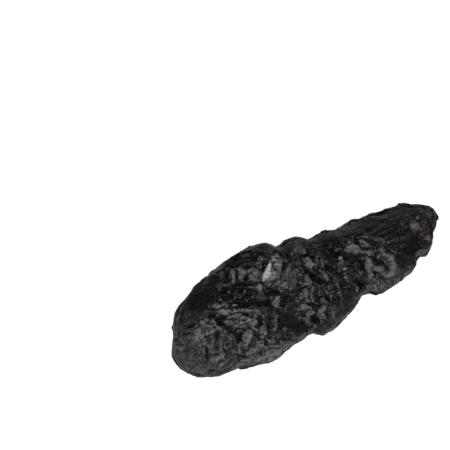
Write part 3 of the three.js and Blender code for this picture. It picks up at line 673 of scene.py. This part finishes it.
def seenRelief(sight):
    # top * (height * breadth + slope * rise) for each mark, with top 1 inside its flat part and 0
    # from its side on; a raised one has a crease e^-((r - 1 - width) / width)^2 round it
    shape, creases = markShape, markShape["crease"]
    count = len(sight.points)
    raised, sunk, crease, covered, dark, frost = (np.zeros(count) for _ in range(6))
    for name, kind in kinds.items():
        stands = kind["height"] > 0
        for mark in seen[name]:
            inside, r, high, breadth = sight.stamp(mark, shape["spread"] if stands else 1)
            top = 1 - smoothStep(r, kind["flat"], shape["side"])
            skin = 1 - smoothStep(r, *shape["frost"])
            lifted = top * (kind["height"] * breadth + kind["lean"] * high)
            if stands:
                raised[inside] = np.maximum(raised[inside], lifted)
                width = min(creases["widest"], max(creases["narrowest"], creases["width"] / breadth))
                ring = np.exp(-(((r - 1.0 - width) / width) ** 2)) * min(1.0, kind["frost"])
                crease[inside] = np.maximum(crease[inside], ring)
            else:
                sunk[inside] = np.maximum(sunk[inside], -lifted)
                # a pit's floor painted dark: painted shade in the recess
                floor = -kind["frost"] * (1 - smoothStep(r, *shape["dark"]))
                dark[inside] = np.maximum(dark[inside], floor)
            covered[inside] = np.maximum(covered[inside], top)
            frost[inside] = frost[inside] * (1 - skin) + kind["frost"] * skin
    return raised, sunk, crease * (1 - smoothStep(raised, *creases["covered"])), covered, dark, frost


def spiralDepth(points, angle):
    # the deepest of strength * radius * (1 - (distance / radius)^2) over the pits
    pits, margin = spiralPits, spiralPits["faceMargin"]
    i = np.arange(pits["count"])
    centres = smoothPoint((i + 0.5) / pits["count"] * 2 - 1, i * pits["turn"])
    radii = pits["smallest"] + pits["spread"] * ((i * pits["radiusStep"]) % 1)
    offFace = smoothStep(-np.sin(angle), -margin, margin)
    strength = (pits["onFace"] + (1 - pits["onFace"]) * offFace) * pits["depthShare"]
    sunk = np.zeros(len(points))
    for centre, radius in zip(centres, radii):
        sunk = np.maximum(sunk, strength * radius * (1 - ((points - centre) ** 2).sum(1) / radius**2))
    return sunk


# how far a point faces the camera (1 straight at it, 0 edge on) where each change starts and ends
facingRanges = {
    "unseen": (-0.25, 0.15),  # nothing is seen below the first, all of it above the second
    "rimStarts": (-0.20, -0.07),  # the band along the outline of what is seen
    "rimEnds": (0.08, 0.30),
    "rimSeen": (-0.1, 0.05),  # its side towards the camera
}

# small plates, scales on them and round dimples, in millimetres; groove widths are in plate sizes,
# and swirl is the size of the flow that bends them, drift how far it moves them
fineRelief = {
    "plates": {
        "size": 2.6, "height": 0.17, "groove": 0.22, "width": 0.13, "seed": 3,
        "swirl": 2.6 * 1.3, "drift": 0.8, "driftSeed": 43, "grooveFrost": 0.7, "mood": 0.65,
    },
    "scales": {
        "size": 1.25, "height": 0.07, "groove": 0.09, "width": 0.16, "seed": 17,
        "swirl": 1.25 * 1.3, "drift": 0.35, "driftSeed": 57, "grooveFrost": 0.45, "mood": 0.35,
    },
    "dimples": {
        "size": 2.7, "depth": 1.5, "onFace": 0.25, "seed": 61,
        "swirl": 1.6, "drift": 0.25, "driftSeed": 29,
    },
    "onMarks": 0.12,  # share of the plates left where a placed mark covers them
    "onWorn": 0.12,  # and on worn glass, and along the outline
    "onRim": 0.15,
    "lostOnBrown": 0.8,
    "backOnBrown": 0.7,  # share of that loss that comes back on the unseen sides
    "fibres": 0.07,  # lengthwise, on the brown glass
    "fibresFrom": (-6, 4),  # only on the thin end, past this place along the stone
    "fibreLayers": [(0.13, 0.55, 91, 1.0), (0.2, 0.28, 92, 0.6)],  # squeeze, size, seed and share
    "grain": 0.035,
    "grainLayers": [(1, 0.5, 77, 1.0), (1, 0.3, 78, 0.6)],
    "creaseDepth": 0.07,
    "marksLostOnWorn": 0.75,
    "marksLostOnRim": 0.7,
    "unseenWear": 0.8,  # share of the wear and of the painted shade that the unseen sides lack
}

# frost is 1 where the glass is grey all over, 0 where it is black, and less where it stays black
frosting = {
    "marksLostOnWorn": 0.22,  # share of a mark's frost
    "pitFloor": (-0.2, 0.3),  # frost over which the painted shade on a pit's floor gives way
    "grooveLostOnRim": 0.65,
    "dimpleLip": 0.35,
    "dimpleFloor": 2.2,
    "palePlates": 0.45,  # for each step of a plate's mood above the middle
    "palePlatesUnseen": 2.35,  # and as much again on the unseen sides
    "darkPlates": 0.8,  # for each step below it
    "creaseLostOnWorn": 0.9,
    "creaseLostToVeilAndLight": (1.6, 0.8),  # for each step of the pale film and painted light, and at most
    "brown": 0.10,
    "fibres": 0.45,
    "veilAndLight": 0.9,
    "crease": 0.35,
    "soot": 0.5,
    "veilAndLightFrom": -0.5,  # glass darker than this takes none of the pale film and painted light
}


def runningMean(sheet, reach, axis):
    # mean over 2 * reach + 1 neighbours; the ends repeat along the stone and wrap round it
    pad = [(0, 0), (0, 0)]
    pad[axis] = (reach + 1, reach)
    total = np.cumsum(np.pad(sheet, pad, mode="wrap" if axis else "edge"), axis=axis)
    n = 2 * reach + 1
    return (total[n:] - total[:-n]) / n if axis == 0 else (total[:, n:] - total[:, :-n]) / n


def ringPoints():
    # share along and angle round of every point: one tip, the rings, the other tip
    rings, around = form["rings"], form["around"]
    turn = np.arange(around) * 2 * math.pi / around
    angle = np.tile(turn + form["faceGather"] * np.cos(turn), rings - 1)
    share = np.repeat(2 * np.arange(1, rings) / rings - 1, around)
    return np.concatenate([[-1.0], share, [1.0]]), np.concatenate([[0.0], angle, [0.0]])


def largeRelief(points, normals, angle, worn):
    # skin + all the lumps - the deepest hollow or round pit
    raised = sum(bowls("lumps", points, normals))
    hollows = np.max(bowls("hollows", points, normals), axis=0)
    rounds = spiralDepth(points, angle) * (1 - spiralPits["wornAway"] * worn)
    return form["skin"] + raised - np.maximum(hollows, rounds)


def chip(sight, frost):
    # each facet in turn over what is there: value * (1 - inside) + its own * inside, for the
    # painted sheen and the depth; the black ones take the frost down to -1
    flake, hollow = np.zeros(len(frost)), np.zeros(len(frost))
    for corners, brightness, depth in facets.values():
        inside = sight.within(corners)
        flake = flake * (1 - inside) + brightness * inside
        hollow = hollow * (1 - inside) + depth * inside
        frost = frost - (frost + 1) * inside * (brightness == 0)
    return flake, hollow, frost


def layered(points, layers):
    # sum of share * haze over (squeeze along the stone, size, seed, share); a squeeze under 1
    # draws the haze out into threads
    return sum(share * haze(points * (squeeze, 1, 1), size, seed) for squeeze, size, seed, share in layers)


def flowing(points, kind):
    # the points moved by the swirls of one kind of relief
    return drift(points, kind["swirl"], kind["drift"], kind["driftSeed"])


def crestOf(relief, reach=6):
    # height over the neighbourhood: the relief minus its mean a few rings and points around
    sheet = relief[1:-1].reshape(form["rings"] - 1, form["around"])
    crest = sheet - runningMean(runningMean(sheet, reach, 0), reach, 1)
    return np.concatenate([[0.0], crest.ravel(), [0.0]])


def facingShares(normals):
    # how unseen each point is, how near the outline of what is seen, and how far on its seen side
    facing, ranges = normals @ back, facingRanges
    away = 1 - smoothStep(facing, *ranges["unseen"])
    rim = smoothStep(facing, *ranges["rimStarts"]) * (1 - smoothStep(facing, *ranges["rimEnds"]))
    return away, rim, smoothStep(facing, *ranges["rimSeen"])


def plateRelief(points, frost, keep, level, soft):
    # height * the plate's own level - groove depth * (1 - smoothstep of the way to its edge), for
    # plates and the scales on them; the grooves lose frost, moods make plates paler or darker
    fine = -fineRelief["grain"] * layered(points, fineRelief["grainLayers"])
    moods = np.zeros(len(points))
    for kind in (fineRelief["plates"], fineRelief["scales"]):
        tilted, edge, mood = plates(flowing(points, kind), kind["size"], kind["seed"])
        groove = 1 - smoothStep(edge, 0.0, kind["width"])
        fine += keep * level * (kind["height"] * tilted - kind["groove"] * groove)
        frost = frost - keep * soft * groove * kind["grooveFrost"]
        moods += (mood - 0.5) * kind["mood"]
    return fine, frost, moods


def dimpleRelief(points, fine, frost, keep, level, away):
    # round dimples cut into the fine relief, few on the broad face: black floors and pale lips
    kind = fineRelief["dimples"]
    dimples = cells(flowing(points, kind), kind["size"], kind["seed"])
    amount = keep * (kind["onFace"] + (1 - kind["onFace"]) * away)
    fine = fine - kind["depth"] * amount * level * dimples
    return fine, frost + amount * (frosting["dimpleLip"] - frosting["dimpleFloor"] * dimples)


def stoneSurface():
    # ring points of the smooth stone, moved along its normal by the large relief + the small one
    share, angle = ringPoints()
    points, normals = smoothPoint(share, angle), smoothNormal(share, angle)
    fade = smoothStep(1 - np.abs(share), 0, form["tipFade"])
    sight = Sight(points, normals)
    large = largeRelief(points, normals, angle, sight.area(areas["worn"])) * fade
    sight.seat(points + normals * large[:, None])

    # the marks, the areas and the chip
    markUp, markDown, crease, covered, dark, frost = seenRelief(sight)
    veilAndLight, soot, worn, warm, cool, brown = (sight.area(rows) for rows in areas.values())
    frost *= 1 - frosting["marksLostOnWorn"] * worn
    # the pits' dark floors join the painted shade
    soot = np.maximum(soot, dark * (1 - smoothStep(frost, *frosting["pitFloor"])))
    flake, hollow, frost = chip(sight, frost)

    # keep is the share of the plates and dimples that each point has, level that of their height
    away, rim, rimSeen = facingShares(normals)
    wear = 1 - fineRelief["unseenWear"] * away
    worn, soot = worn * wear, soot * wear
    keep = (1 - worn * (1 - fineRelief["onWorn"])) * (1 - covered * (1 - fineRelief["onMarks"]))
    keep *= 1 - fineRelief["lostOnBrown"] * brown * (1 - fineRelief["backOnBrown"] * away)
    level = 1 - rim * (1 - fineRelief["onRim"])
    soft = 1 - frosting["grooveLostOnRim"] * rim * rimSeen
    fine, frost, moods = plateRelief(points, frost, keep, level, soft)
    fine, frost = dimpleRelief(points, fine, frost, keep, level, away)
    paler = moods * (frosting["palePlates"] + frosting["palePlatesUnseen"] * away)
    frost += keep * (1 - covered) * np.where(moods > 0, paler, moods * frosting["darkPlates"])

    # fibres on the brown glass, then the pale films with painted light, the creases and the painted shade
    # over all of it
    strands = brown * smoothStep(points[:, 0], *fineRelief["fibresFrom"])
    fibres = layered(points, fineRelief["fibreLayers"])
    fine += fineRelief["fibres"] * strands * fibres
    frost += (frosting["brown"] * brown + frosting["fibres"] * fibres * strands) * (1 - covered)
    perVeilAndLight, mostVeilAndLight = frosting["creaseLostToVeilAndLight"]
    crease *= (1 - frosting["creaseLostOnWorn"] * worn) * (1 - np.minimum(veilAndLight * perVeilAndLight, mostVeilAndLight))
    # the pale film and painted light lift the frost, the creases lower it, and the painted shade takes it
    # down
    overlaid = frosting["veilAndLight"] * veilAndLight - frosting["crease"] * crease
    frost += overlaid * (frost > frosting["veilAndLightFrom"]) - frosting["soot"] * soot

    raised = (markUp - fineRelief["creaseDepth"] * crease) * (1 - fineRelief["marksLostOnWorn"] * worn)
    small = raised * (1 - fineRelief["marksLostOnRim"] * rim) - markDown - hollow + fine
    relief = large + small * np.maximum(fade, form["tipRelief"])
    points = points + normals * relief[:, None]
    points[:, 2] = np.maximum(points[:, 2], form["restLevel"])
    fields = {"crest": crestOf(relief), "worn": worn, "frost": frost, "flake": flake, "soot": soot}
    fields.update({"warm": warm, "cool": cool, "brown": brown, "strands": strands})
    return (points - shift) / 1000, fields


def closedMesh(name, points, rings, around):
    # quads between neighbouring rings and a fan of triangles at each tip
    ring = 1 + np.arange(rings - 1)[:, None] * around
    here, there = ring + np.arange(around), ring + (np.arange(around) + 1) % around
    a, b, c, d = here[:-1], there[:-1], there[1:], here[1:]
    quads = np.stack([a, b, c, d], -1).reshape(-1, 4)
    start = np.stack([np.zeros(around, int), there[0], here[0]], 1)
    end = np.stack([np.full(around, len(points) - 1), here[-1], there[-1]], 1)
    corners = np.concatenate([quads.ravel(), start.ravel(), end.ravel()])
    sizes = np.concatenate([np.full(len(quads), 4), np.full(2 * around, 3)])
    starts = np.concatenate([[0], np.cumsum(sizes)[:-1]])
    mesh = bpy.data.meshes.new(name)
    mesh.vertices.add(len(points))
    mesh.vertices.foreach_set("co", points.astype(np.float32).ravel())
    mesh.loops.add(len(corners))
    mesh.loops.foreach_set("vertex_index", corners.astype(np.int32))
    mesh.polygons.add(len(sizes))
    mesh.polygons.foreach_set("loop_start", starts.astype(np.int32))
    mesh.polygons.foreach_set("use_smooth", np.ones(len(sizes), bool))
    mesh.update(calc_edges=True)
    mesh.validate()
    return mesh


points, fields = stoneSurface()
mesh = closedMesh("stone", points, form["rings"], form["around"])
for name, values in fields.items():
    mesh.attributes.new(name, "FLOAT", "POINT").data.foreach_set("value", values.astype(np.float32))
stone = bpy.data.objects.new("stone", mesh)
bpy.context.collection.objects.link(stone)
print("stone surface made:", len(points), "points")


class Wire:
    # a shader socket that adds Math nodes when it is used in an expression
    def __init__(self, tree, socket):
        self.tree, self.socket = tree, socket

    def math(self, operation, *values):
        return node(self.tree, "ShaderNodeMath", {"operation": operation}, dict(enumerate(values)))

    def __add__(self, other):
        return self.math("ADD", self, other)

    def __sub__(self, other):
        return self.math("SUBTRACT", self, other)

    def __rsub__(self, other):
        return self.math("SUBTRACT", other, self)

    def __mul__(self, other):
        return self.math("MULTIPLY", self, other)

    __radd__, __rmul__ = __add__, __mul__

    def clamped(self, low=0.0, high=1.0):
        # kept between low and high
        return node(self.tree, "ShaderNodeClamp", {}, {0: self, 1: low, 2: high})

    def ranged(self, low, high, toLow=0.0, toHigh=1.0):
        # 3t^2 - 2t^3 of the way from low to high, laid from toLow to toHigh
        return node(
            self.tree, "ShaderNodeMapRange", {"interpolation_type": "SMOOTHSTEP"},
            {0: self, 1: low, 2: high, 3: toLow, 4: toHigh},
        )


def node(tree, kind, settings, inputs, output=0):
    # a node of this type: its settings first, then a value or a link for each socket named
    made = tree.nodes.new(kind)
    for key, value in settings.items():
        setattr(made, key, value)
    for key, value in inputs.items():
        if isinstance(value, Wire):
            tree.links.new(value.socket, made.inputs[key])
        else:
            made.inputs[key].default_value = value
    return Wire(tree, made.outputs[output])


def blendColours(tree, factor, first, second, stop=True):
    # first + factor * (second - first); stop=False carries on past the second over a factor of 1
    settings = {"data_type": "RGBA", "clamp_factor": stop}
    return node(tree, "ShaderNodeMix", settings, {0: factor, 6: first, 7: second}, 2)


glass = {
    "black": (0.0055, 0.0043, 0.0064, 1),
    "frosted": (0.118, 0.114, 0.121, 1),
    "warm": (0.115, 0.108, 0.085, 1),
    "cool": (0.099, 0.107, 0.127, 1),
    "brown": (0.0148, 0.0115, 0.0150, 1),
    "brownFrost": (0.104, 0.092, 0.099, 1),
    "umber": (0.0255, 0.0158, 0.0092, 1),
    "umberFrost": (0.126, 0.097, 0.072, 1),
    "coolBlack": (0.0085, 0.0096, 0.0135, 1),
    # the chip's painted sheen, near white and tan
    "chipSheen": (1.0, 0.99, 0.99, 1),
    "chipSheenTan": (1.0, 0.91, 0.76, 1),
    "ior": 1.5,
    "brownTint": 0.7,  # share of the brown tint that the frost takes
    "coolTint": 0.8,  # share of the cool tint that the black glass takes
    "stain": {"least": 0.2, "flow": 1.2},  # how much of the brown shows, evenly and in streaks
    "matt": {"roughness": 0.9, "shine": 0.05, "share": 0.85},  # the matt shader laid on the painted shade, and how much of it covers the gloss
    "roughness": {"black": 0.20, "frost": 0.32, "worn": 0.06, "grain": 0.12, "limits": (0.12, 0.7)},
    # how much of the chip's painted sheen shows, and how it is broken up
    "chip": {"ground": 0.35, "grain": 0.8, "specks": 1.6, "brightness": 1.56},
}

# the noises under the finish: scale in patterns to a metre
grains = {
    "medium": {"Scale": 700.0, "Detail": 4.0, "Roughness": 0.55},
    "fine": {"Scale": 1500.0, "Detail": 4.0, "Roughness": 0.7},
    "finest": {"Scale": 3900.0, "Detail": 2.0, "Roughness": 0.55},
    "flow": {"Scale": 1500.0, "Detail": 2.0, "Roughness": 0.5},
    "cells": 1500.0,
    "shaking": (0.0005, 0.0005, 0.0005),  # metres
    "drawnOut": (0.12, 1.0, 1.0),
}

# how the frost is broken up: each line adds to it or takes from it
breakUp = {
    "least": 0.18,
    "patches": {"share": 0.90, "range": (0.38, 0.62)},
    "cells": 0.30,
    "specks": 2.7,
    "sparkle": {"share": 0.72, "range": (0.60, 0.70)},  # painted highlights: bright specks, on glass without frost too
    # painted highlights where the relief stands above its neighbourhood
    "crestHighlights": {"share": 0.25, "range": (0.0, 0.25)},
    "streaks": {"share": 0.65, "range": (0.50, 0.68)},
    "cracks": {"share": 0.55, "range": (0.0, 0.09)},
    "most": 1.4,
}

# bumps too small for the mesh, as shares of the distance
bumps = {
    "medium": 0.5,
    "fine": 0.4,
    "finest": 0.15,
    "cracks": 0.35,
    "cells": 0.3,
    "strength": 0.6,
    "distance": 0.00014,  # metres
}


def partOf(socket, entry):
    # share * (3t^2 - 2t^3), with t running from 0 to 1 over the entry's range
    return socket.ranged(*entry["range"]) * entry["share"]


def glassWires(tree):
    # the fields on the stone's points, and the noises and cells in space, by name
    place = node(tree, "ShaderNodeTexCoord", {}, {}, "Object")

    def noise(name, at=place, output="Fac"):
        return node(tree, "ShaderNodeTexNoise", {}, {"Vector": at, **grains[name]}, output)

    def vector(operation, *values):
        return node(tree, "ShaderNodeVectorMath", {"operation": operation}, dict(enumerate(values)))

    def voronoi(feature, at, output):
        inputs = {"Vector": at, "Scale": grains["cells"]}
        return node(tree, "ShaderNodeTexVoronoi", {"feature": feature}, inputs, output)

    wires = {name: node(tree, "ShaderNodeAttribute", {"attribute_name": name}, {}, "Fac") for name in fields}
    wires.update({name: noise(name) for name in ("medium", "fine", "finest")})
    # ragged little cells: the place is shaken by a noise first
    shaken = vector("MULTIPLY_ADD", noise("flow", place, "Color"), grains["shaking"], place)
    edge = voronoi("DISTANCE_TO_EDGE", shaken, "Distance")
    wires["cracks"] = edge.ranged(*breakUp["cracks"]["range"], 1.0, 0.0)
    wires["draw"] = node(tree, "ShaderNodeSeparateColor", {}, {0: voronoi("F1", shaken, "Color")})
    wires["flow"] = noise("flow", vector("MULTIPLY", shaken, grains["drawnOut"]))
    return SimpleNamespace(**wires)


def frostedGlass(on):
    # (frost + painted sparkle + painted highlights on raised parts + streaks) * mottle * (1 - cracks):
    # 0 on black glass, 1 on grey and a little over it on the palest specks
    mottle = breakUp["least"] + partOf(on.fine, breakUp["patches"])
    mottle = mottle + breakUp["cells"] * (on.draw - 0.5) + breakUp["specks"] * (on.finest - 0.5)
    streaks = on.flow.ranged(*breakUp["streaks"]["range"]) * on.strands
    frosted = on.frost + partOf(on.finest, breakUp["sparkle"]) + partOf(on.crest, breakUp["crestHighlights"])
    frosted = (frosted + streaks * breakUp["streaks"]["share"]) * mottle
    cracked = breakUp["cracks"]["share"] * on.cracks * (1 - on.worn)
    return (frosted * (1 - cracked)).clamped(0.0, breakUp["most"])


def glassColour(tree, on, frosted):
    # the black or stained ground, the tones of the frost over it, and the chip's painted sheen over both
    def blend(factor, first, second, stop=True):
        colours = [glass[colour] if isinstance(colour, str) else colour for colour in (first, second)]
        return blendColours(tree, factor, *colours, stop)

    tone = blend(on.brown * glass["brownTint"], "frosted", "brownFrost")
    tone = blend(on.warm, tone, blend(on.brown, "warm", "umberFrost"))
    tone = blend(on.cool, tone, "cool")
    stained = on.brown * (glass["stain"]["least"] + glass["stain"]["flow"] * on.flow)
    ground = blend(stained, "black", blend(on.warm, "brown", "umber"))
    ground = blend(on.cool * glass["coolTint"], ground, "coolBlack")
    old = blend(frosted, ground, tone, stop=False)

    chipped = glass["chip"]
    # the chip painted near white and tan: a painted sheen of its glassy facets
    chipSheen = blend((on.warm + on.medium - 0.5).clamped(), "chipSheen", "chipSheenTan")
    specks = chipped["ground"] + chipped["grain"] * on.fine + chipped["specks"] * (on.finest - 0.5)
    return blend((on.flake * specks * chipped["brightness"]).clamped(), old, chipSheen)


def glassBump(tree, on):
    # the sum of each noise times its share, with the cracks and cells only where nothing is worn
    height = on.medium * bumps["medium"] + on.fine * bumps["fine"] + on.finest * bumps["finest"]
    height = height - on.cracks * bumps["cracks"] * (1 - on.worn)
    height = height + bumps["cells"] * (on.draw - 0.5) * (1 - on.worn)
    inputs = {"Strength": bumps["strength"], "Distance": bumps["distance"], "Height": height}
    return node(tree, "ShaderNodeBump", {}, inputs, "Normal")


def glassMaterial():
    # glossy glass, rougher where it is frosted, mixed with a matt shader where shade is painted
    material = bpy.data.materials.new("black natural glass")
    material.use_nodes = True
    tree = material.node_tree
    tree.nodes.clear()
    on = glassWires(tree)
    frosted = frostedGlass(on)
    colour, bump = glassColour(tree, on, frosted), glassBump(tree, on)
    rough, matt = glass["roughness"], glass["matt"]
    roughness = rough["black"] + rough["frost"] * frosted + rough["worn"] * on.worn
    roughness = (roughness + rough["grain"] * (on.fine - 0.5)).clamped(*rough["limits"])
    both = {"Base Color": colour, "Normal": bump}
    glossy = {"Roughness": roughness, "IOR": glass["ior"], **both}
    shadeMatt = {"Roughness": matt["roughness"], "Specular IOR Level": matt["shine"], **both}
    shaders = [node(tree, "ShaderNodeBsdfPrincipled", {}, inputs) for inputs in (glossy, shadeMatt)]
    # the painted shade also lays the matt shader over the gloss
    cover = (matt["share"] * on.soot).clamped()
    shader = node(tree, "ShaderNodeMixShader", {}, {0: cover, 1: shaders[0], 2: shaders[1]})
    tree.links.new(shader.socket, tree.nodes.new("ShaderNodeOutputMaterial").inputs["Surface"])
    return material


stone.data.materials.append(glassMaterial())
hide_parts("tektite")
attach(stone, "root")
print("glass material made")


studio = {
    "floorRadius": 0.13,  # metres
    "floorSides": 96,
    "floorGlow": 0.9,
    "floorColour": (0.6, 0.6, 0.6, 1),
    "floorRoughness": 0.9,
    "floorSeen": (0.10, 0.10, 0.10, 1),  # the glow that the stone sees of it
    "surround": (0.026, 0.021, 0.026, 1),  # what the stone sees above the floor
    "lampsAim": (0, 0, 0.01),  # metres
}


def floorMaterial():
    # a matt floor that glows: white to the camera, dim to the stone
    material = bpy.data.materials.new("pale floor")
    material.use_nodes = True
    tree = material.node_tree
    shader = tree.nodes["Principled BSDF"]
    shader.inputs["Base Color"].default_value = studio["floorColour"]
    shader.inputs["Roughness"].default_value = studio["floorRoughness"]
    seenDirectly = node(tree, "ShaderNodeLightPath", {}, {}, "Is Camera Ray")
    glow = blendColours(tree, seenDirectly, studio["floorSeen"], (1, 1, 1, 1))
    tree.links.new(glow.socket, shader.inputs["Emission Color"])
    shader.inputs["Emission Strength"].default_value = studio["floorGlow"]
    return material


def makeFloor():
    # a plain round tabletop: radius * (cos, sin) at even turns
    turn = np.arange(studio["floorSides"]) * 2 * math.pi / studio["floorSides"]
    rim = studio["floorRadius"] * np.stack([np.cos(turn), np.sin(turn), 0 * turn], 1)
    mesh = bpy.data.meshes.new("floor")
    mesh.from_pydata(rim.tolist(), [], [list(range(studio["floorSides"]))])
    floor = bpy.data.objects.new("floor", mesh)
    bpy.context.collection.objects.link(floor)
    mesh.materials.append(floorMaterial())


def makeWorld():
    # white where the camera sees past the floor, dim for everything the stone reflects
    world = bpy.data.worlds.new("room")
    bpy.context.scene.world = world
    world.use_nodes = True
    tree = world.node_tree
    tree.nodes.clear()
    seenDirectly = node(tree, "ShaderNodeLightPath", {}, {}, "Is Camera Ray")
    colour = blendColours(tree, seenDirectly, studio["surround"], (1, 1, 1, 1))
    background = node(tree, "ShaderNodeBackground", {}, {"Color": colour, "Strength": 1.0})
    tree.links.new(background.socket, tree.nodes.new("ShaderNodeOutputWorld").inputs["Surface"])


# soft lamps: direction from the stone (azimuth as for the camera, elevation), distance, size, power
lamps = {
    "front": {"azimuth": -20, "elevation": 36, "distance": 0.6, "size": 0.55, "watts": 3.05},
    "glint": {"azimuth": -60, "elevation": 52, "distance": 0.6, "size": 0.05, "watts": 0.16},
    "left": {"azimuth": -100, "elevation": 24, "distance": 0.6, "size": 0.35, "watts": 0.55},
    "right": {"azimuth": 60, "elevation": 30, "distance": 0.6, "size": 0.25, "watts": 0.2},
    "back": {"azimuth": 150, "elevation": 12, "distance": 0.6, "size": 0.50, "watts": 0.14},
}


def lookAt(thing, middle, azimuth, elevation, distance):
    # puts a lamp or a camera at the distance from the middle and turns it back to look there
    towards = Vector(direction(azimuth, elevation))
    thing.location = Vector(middle) + towards * distance
    thing.rotation_mode = "QUATERNION"
    thing.rotation_quaternion = towards.to_track_quat("Z", "Y")


def makeLamps():
    # round soft lamps about the stone, not seen by the camera
    for name, lamp in lamps.items():
        data = bpy.data.lights.new(name, "AREA")
        data.shape, data.size, data.energy = "DISK", lamp["size"], lamp["watts"]
        light = bpy.data.objects.new(name, data)
        bpy.context.collection.objects.link(light)
        lookAt(light, studio["lampsAim"], lamp["azimuth"], lamp["elevation"], lamp["distance"])
        light.visible_camera = False


def makeCamera():
    # looks at the aim from its own direction and distance
    data = bpy.data.cameras.new("camera")
    data.lens, data.sensor_width = camera["lens"], camera["sensor"]
    data.clip_start, data.clip_end = camera["clip"]
    eye = bpy.data.objects.new("camera", data)
    bpy.context.collection.objects.link(eye)
    lookAt(eye, camera["aim"], camera["azimuth"], camera["elevation"], camera["distance"])
    bpy.context.scene.camera = eye


makeFloor()
makeWorld()
makeLamps()
makeCamera()
bpy.context.scene.view_settings.view_transform = "Standard"
print("floor, lamps and camera made")
